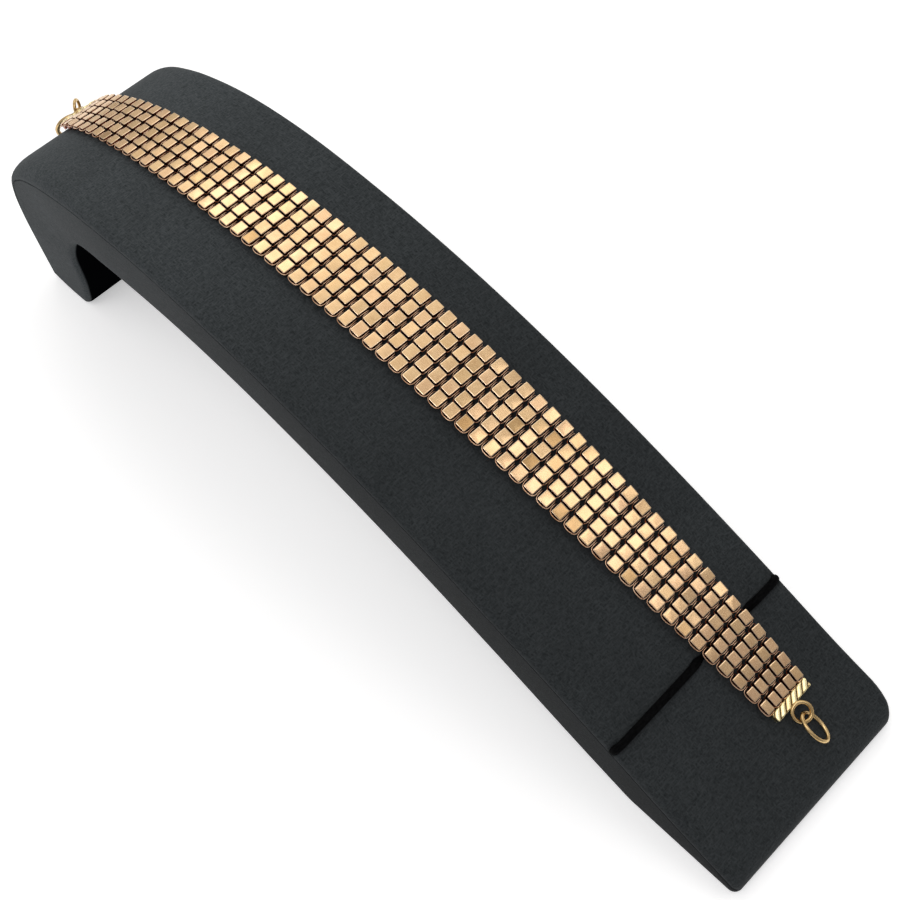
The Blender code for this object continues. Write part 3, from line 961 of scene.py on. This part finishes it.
def add_plate(bm, placing, length, width, dome, tone):
    """A flat plate with softened edges on a narrower core; its top is at the placing."""
    tone_layer = bm.verts.layers.float["tone"]
    # The edge value paints a highlight on the rim and shade on the side and core
    highlight_and_shade_layer = bm.verts.layers.float["edge"]
    loops = []

    def add_loop(outline, height, edge):
        loop = [bm.verts.new(placing @ Vector((x, y, height))) for x, y in outline]
        for vert in loop:
            vert[tone_layer] = tone
            vert[highlight_and_shade_layer] = edge
        loops.append(loop)

    middle = PLATE_MIDDLE_SHARE
    add_loop(rounded_rectangle(length * middle, width * middle, PLATE_CORNER * middle), dome, 0.0)
    for inset, height, edge in PLATE_LEVELS:
        taken = PLATE_BEVEL * inset
        corner = max(PLATE_CORNER - taken * CORNER_TAKEN, CORNER_LEAST)
        outline = rounded_rectangle(length - 2 * taken, width - 2 * taken, corner)
        add_loop(outline, PLATE_BEVEL * height, edge)
    # The core under the plate is painted in shade all over
    core = rounded_rectangle(length * CORE_SHARE, width * CORE_SHARE, PLATE_CORNER)
    add_loop(core, -PLATE_THICKNESS, -1.0)
    add_loop(core, -CORE_DEPTH, -1.0)
    bridge_loops(bm, loops)


def closed_curve(points, steps):
    """A smooth closed curve through the points."""
    samples = []
    count = len(points)
    for i in range(count):
        before, start, end, after = (points[(i + j) % count] for j in (-1, 0, 1, 2))
        for j in range(steps):
            t = j / steps
            samples.append(
                0.5
                * (
                    2 * start
                    + (end - before) * t
                    + (2 * before - 5 * start + 4 * end - after) * t**2
                    + (3 * start - before - 3 * end + after) * t**3
                )
            )
    return samples


def make_band():
    """The plates, and a wire ring round each that shows in the gaps beside it."""
    chance = random.Random(RANDOM_SEED)
    plates = bmesh.new()
    rings = bmesh.new()
    plates.verts.layers.float.new("tone")
    plates.verts.layers.float.new("edge")
    shade_layer = rings.verts.layers.float.new("edge")
    for row in range(ROWS):
        back = row * ROW_PITCH
        spread = column_pitch(back) / COLUMN_PITCH
        for column in range(COLUMNS):
            place = column - (COLUMNS - 1) / 2
            tilt_x = chance.gauss(0.0, PLATE_TILT)
            tilt_y = chance.gauss(0.0, PLATE_TILT)
            dome = chance.uniform(-0.3, 1.0) * PLATE_DOME
            tone = chance.random()
            flat = band_frame(back, place, 0.0)
            lift = Matrix.Translation((0.0, 0.0, PLATE_TOP)) @ Matrix.Rotation(PLATE_TURN, 4, "Z")
            turned = flat @ lift @ Matrix.Rotation(tilt_x, 4, "X") @ Matrix.Rotation(tilt_y, 4, "Y")
            width = column_pitch(back) - COLUMN_GAP
            add_plate(plates, turned, PLATE_LENGTH, width, dome, tone)
            turn = Matrix.Rotation(chance.gauss(0.0, RING_TURN), 4, "Z")
            drop = 0.0 if column == 0 else INNER_ARC_DROP
            route = []
            for x, y, z, wire in RING_ROUTE:
                lowered = z - drop if y < RING_ARC_EDGE else z
                route.append(Vector((x, y * spread, lowered, wire)) * MILLIMETRE)
            curve = closed_curve(route, RING_STEPS)
            points = [flat @ turn @ point.to_3d() for point in curve]
            loops = add_tube(rings, points, [point.w for point in curve], RING_SIDES)
            # Painted shade on the wire where it lies low between the plates
            for loop, point in zip(loops, curve):
                height = point.z / MILLIMETRE
                light = (height - RING_DARK_HEIGHT) / (RING_BRIGHT_HEIGHT - RING_DARK_HEIGHT)
                for vert in loop:
                    vert[shade_layer] = min(0.0, light - 1.0)
    rose = gold(
        "rose_gold_plate",
        dark=(0.82, 0.545, 0.305),
        light=(0.91, 0.632, 0.365),
        roughness=0.24,
        brushed=1.0,
        toned=True,
        painted_rim_and_shade=True,
    )
    wire = gold(
        "rose_gold_wire",
        dark=(0.50, 0.27, 0.15),
        light=(0.86, 0.59, 0.40),
        roughness=0.26,
        brushed=0.2,
        painted_rim_and_shade=True,
    )
    plate_mesh = mesh_of("band_plates", plates, sharp_angle=40.0)
    new_piece("band_plates", plate_mesh, rose, "rose_gold", "tile_mesh_band")
    new_piece("band_rings", mesh_of("band_rings", rings), wire, "rose_gold", "tile_mesh_band")


# Caps, rings and clasp

CAP_EDGE = 0.00022
CAP_EDGE_TAKEN = 0.3
CAP_LOOPS = 260
CAP_ROWS = 33
FLUTE_DEPTH = 0.00028
FLUTE_RISE = 0.68
FLUTE_ROUNDNESS = 1.35
# How the painted shade fades up each petal and darkens in each groove
PETAL_SHADE_FADE = 1.5
PETAL_SHADE_POWER = 1.5
GROOVE_SHADE_GAIN = 1.6
RING_POINTS = 96
WIRE_SIDES = 20
WIRE_UNEVEN = 0.03


def flute(x, y):
    """Depth and painted shade of a cap's top: petals that rise slowly and drop into a narrow
    groove, painted dark in the groove and fading up each petal.
    """
    pitch = CAP_WIDTH / FLUTES * math.sin(FLUTE_ANGLE)
    phase = (x * math.cos(FLUTE_ANGLE) + y * math.sin(FLUTE_ANGLE)) / pitch % 1.0
    if phase < FLUTE_RISE:
        risen = phase / FLUTE_RISE
        groove_shade = max(0.0, 1 - PETAL_SHADE_FADE * risen) ** PETAL_SHADE_POWER
        return FLUTE_DEPTH * (1 - risen) ** FLUTE_ROUNDNESS, groove_shade
    fallen = (phase - FLUTE_RISE) / (1 - FLUTE_RISE)
    return FLUTE_DEPTH * fallen, min(1.0, GROOVE_SHADE_GAIN * fallen)


def add_cap(bm, placing):
    """The bar of a cap, in loops from one end to the other."""
    # Painted shade of the flutes, darkest in the grooves
    groove_shade_layer = bm.verts.layers.float.new("groove")
    loops = []
    for i in range(CAP_LOOPS + 1):
        y = -CAP_WIDTH / 2 + CAP_WIDTH * i / CAP_LOOPS
        drawn_in = rounding(CAP_WIDTH / 2 - abs(y), CAP_EDGE)
        length = CAP_LENGTH - 2 * drawn_in
        height = CAP_THICKNESS - 2 * drawn_in
        outline = []
        stains_and_shades = []
        for share in np.linspace(-1.0, 1.0, CAP_ROWS):
            x = share * (length / 2 - CAP_EDGE * CAP_EDGE_TAKEN)
            edge = rounding(length / 2 - abs(x), CAP_EDGE)
            depth, groove_shade = flute(x, y)
            outline.append((x, height / 2 - edge - depth))
            stains_and_shades.append(groove_shade)
        side_points = ((length / 2, height / 2 - CAP_EDGE), (length / 2, -height / 2 + CAP_EDGE))
        outline += list(side_points)
        outline.append((length / 2 - CAP_EDGE, -height / 2))
        outline.append((-length / 2 + CAP_EDGE, -height / 2))
        outline += [(-x, z) for x, z in reversed(side_points)]
        loop = [bm.verts.new(placing @ Vector((x, y, z))) for x, z in outline]
        for vert, groove_shade in zip(loop, stains_and_shades):
            vert[groove_shade_layer] = groove_shade
        loops.append(loop)
    bridge_loops(bm, loops)


def add_ring(bm, placing, length, width, wire, seed):
    """A ring of round wire, a little uneven along its way as hand-closed wire is."""
    points = []
    radii = []
    for i in range(RING_POINTS):
        angle = 2 * math.pi * i / RING_POINTS
        x = (length - wire) / 2 * math.cos(angle)
        y = (width - wire) / 2 * math.sin(angle)
        points.append(placing @ Vector((x, y, 0.0)))
        radii.append(wire / 2 * (1 - WIRE_UNEVEN * (1 + math.sin(3 * angle + seed)) / 2))
    add_tube(bm, points, radii, WIRE_SIDES)


def new_ring_piece(name, material, replaced, *rings):
    """A piece of one or more rings; a ring is (placing, length, width, wire, seed)."""
    bm = bmesh.new()
    for ring in rings:
        add_ring(bm, *ring)
    new_piece(name, mesh_of(name, bm), material, "yellow_gold", replaced)


def soldered_ring_placing(cap_placing, shift, lean):
    reach = CAP_LENGTH / 2 + SOLDERED_RING_DIAMETER / 2 - SOLDER_OVERLAP
    rise = SOLDERED_RING_HEIGHT - GAP - CAP_THICKNESS / 2
    return cap_placing @ Matrix.Translation((reach, shift, rise)) @ Matrix.Rotation(lean, 4, "X")


def make_end_cap(end, placing, ring_placing, polished, wear_and_painted_light):
    """The bar of one end's cap, and the ring soldered to it."""
    bm = bmesh.new()
    add_cap(bm, placing)
    bar = mesh_of(end + "_cap_bar", bm, sharp_angle=40.0)
    new_piece(end + "_cap_bar", bar, polished, "yellow_gold", end + "_end_cap")
    ring = (ring_placing, SOLDERED_RING_DIAMETER, SOLDERED_RING_DIAMETER, RING_WIRE, 1)
    new_ring_piece(end + "_cap_ring", wear_and_painted_light, end + "_end_cap", ring)


def make_near_ring(soldered, wear_and_painted_light):
    """The oval jump ring that lies at a lean through the near soldered ring."""
    half_length = (OVAL_RING_LENGTH - RING_WIRE) / 2
    half_width = (OVAL_RING_WIDTH - RING_WIRE) / 2
    along, aside, up = OVAL_RING_OFFSET
    offset = Matrix.Translation((along * half_length, aside * half_width, up * half_width))
    placing = soldered @ offset @ Matrix.Rotation(OVAL_RING_LEAN, 4, "X")
    ring = (placing, OVAL_RING_LENGTH, OVAL_RING_WIDTH, RING_WIRE, 2)
    new_ring_piece("near_oval_ring", wear_and_painted_light, "near_jump_ring", ring)


def make_far_ring_and_clasp(soldered, wear_and_painted_light):
    """The jump ring that stands behind the crest, and the ring clasp that hangs from it."""
    soldered_radius = (SOLDERED_RING_DIAMETER - RING_WIRE) / 2
    ring_radius = (FAR_RING_DIAMETER - RING_WIRE) / 2
    offset = Vector((soldered_radius, 0.0, 0.0)) + Vector(FAR_RING_OFFSET) * ring_radius
    jump = (
        soldered
        @ Matrix.Translation(offset)
        @ Matrix.Rotation(FAR_RING_PITCH, 4, "Y")
        @ Matrix.Rotation(FAR_RING_LEAN, 4, "X")
    )
    ring = (jump, FAR_RING_DIAMETER, FAR_RING_DIAMETER, RING_WIRE, 3)
    new_ring_piece("far_round_ring", wear_and_painted_light, "far_jump_ring", ring)

    on_ring = Vector((math.cos(CLASP_ROUND_RING), math.sin(CLASP_ROUND_RING), 0.0)) * ring_radius
    turn = (
        soldered.to_3x3()
        @ Matrix.Rotation(CLASP_YAW, 3, "Z")
        @ Matrix.Rotation(CLASP_PITCH, 3, "Y")
        @ Matrix.Rotation(CLASP_ROLL, 3, "X")
    )
    eye = Matrix.Translation(jump @ on_ring) @ turn.to_4x4()
    reach = (CLASP_DIAMETER - CLASP_WIRE) / 2 + (CLASP_EYE_DIAMETER - CLASP_EYE_WIRE) / 2
    body = eye @ Matrix.Translation((reach, 0.0, 0.0))
    new_ring_piece(
        "clasp_ring",
        wear_and_painted_light,
        "ring_clasp",
        (body, CLASP_DIAMETER, CLASP_DIAMETER, CLASP_WIRE, 4),
        (eye, CLASP_EYE_DIAMETER, CLASP_EYE_DIAMETER, CLASP_EYE_WIRE, 5),
    )


def make_fittings():
    polished = gold(
        "yellow_gold_polished",
        dark=(0.93, 0.74, 0.36),
        light=(1.0, 0.88, 0.52),
        roughness=0.24,
        brushed=0.0,
        groove_shaded=True,
    )
    wear_and_painted_light = gold(
        "yellow_gold_wire",
        dark=(0.50, 0.33, 0.14),
        light=(0.74, 0.53, 0.26),
        roughness=0.24,
        brushed=0.0,
    )
    cap_back = PLATE_LENGTH / 2 + GAP + CAP_LENGTH / 2
    cap_height = GAP + CAP_THICKNESS / 2
    near_cap = band_frame(-cap_back, 0.0, cap_height)
    far_cap = band_frame((ROWS - 1) * ROW_PITCH + cap_back, 0.0, cap_height)
    far_cap = far_cap @ Matrix.Rotation(math.pi, 4, "Z")
    near_soldered = soldered_ring_placing(near_cap, NEAR_SOLDERED_SHIFT, NEAR_SOLDERED_LEAN)
    far_soldered = soldered_ring_placing(far_cap, 0.0, 0.0)
    make_end_cap("near", near_cap, near_soldered, polished, wear_and_painted_light)
    make_end_cap("far", far_cap, far_soldered, polished, wear_and_painted_light)
    make_near_ring(near_soldered, wear_and_painted_light)
    make_far_ring_and_clasp(far_soldered, wear_and_painted_light)


# Floor, light and world

FLOOR_HALF = 3.0
FLOOR_CORNERS = ((-1, -1), (1, -1), (1, 1), (-1, 1))
FLOOR_GLOW = 0.44

# Soft square lights: name, way they are seen in from the target, distance, size and power
LIGHT_TARGET = (0.0, 0.0, 0.02)
LIGHTS = (
    ("window", (-0.57, 0.30, 0.77), 1.1, 0.22, 0.17),
    ("lamp", (0.38, 0.34, 0.86), 1.0, 0.30, 0.44),
    ("side", (0.10, -0.35, 0.93), 0.9, 0.40, 1.3),
)

# Brightness of the surroundings, from away from the bright way to straight along it
WORLD_BRIGHT_WAY = (-0.50, 0.33, 0.80)
WORLD_STRENGTH = 1.39
WORLD_TONES = (
    (0.00, (0.20, 0.20, 0.21)),
    (0.38, (0.37, 0.36, 0.37)),
    (0.80, (0.42, 0.415, 0.405)),
    (0.96, (0.80, 0.795, 0.775)),
    (1.00, (0.99, 0.99, 0.96)),
)


def make_floor():
    bm = bmesh.new()
    bm.faces.new([bm.verts.new((x * FLOOR_HALF, y * FLOOR_HALF, 0.0)) for x, y in FLOOR_CORNERS])
    mesh = bpy.data.meshes.new("floor")
    bm.to_mesh(mesh)
    bm.free()
    floor = bpy.data.objects.new("floor", mesh)
    bpy.context.scene.collection.objects.link(floor)
    shader = Shader(
        "floor",
        Roughness=0.85,
        Base_Color=(0.90, 0.90, 0.90, 1.0),
        Emission_Color=(1.0, 1.0, 1.0, 1.0),
        Emission_Strength=FLOOR_GLOW,
    )
    floor.data.materials.append(shader.material)


def add_area_light(name, way, distance, size, power):
    data = bpy.data.lights.new(name, "AREA")
    data.size = size
    data.energy = power
    light = bpy.data.objects.new(name, data)
    bpy.context.scene.collection.objects.link(light)
    direction = Vector(way).normalized()
    light.location = Vector(LIGHT_TARGET) + direction * distance
    light.rotation_mode = "QUATERNION"
    light.rotation_quaternion = direction.to_track_quat("Z", "Y")


def make_world():
    """Soft studio surroundings: bright above and beyond the ramp, dimmer on the lip's side."""
    world = bpy.data.worlds.new("studio")
    bpy.context.scene.world = world
    world.use_nodes = True
    tree = world.node_tree
    coords = tree.nodes.new("ShaderNodeTexCoord")
    dot = tree.nodes.new("ShaderNodeVectorMath")
    dot.operation = "DOT_PRODUCT"
    dot.inputs[1].default_value = Vector(WORLD_BRIGHT_WAY).normalized()
    tree.links.new(coords.outputs["Generated"], dot.inputs[0])
    ramp = tree.nodes.new("ShaderNodeValToRGB")
    tree.links.new(dot.outputs["Value"], ramp.inputs["Fac"])
    set_stops(ramp, WORLD_TONES)
    background = tree.nodes["Background"]
    tree.links.new(ramp.outputs["Color"], background.inputs["Color"])
    background.inputs["Strength"].default_value = WORLD_STRENGTH


bpy.context.scene.view_settings.view_transform = "Standard"
make_camera()
make_floor()
make_world()
for light in LIGHTS:
    add_area_light(*light)
make_ramp()
make_cord()
make_band()
make_fittings()
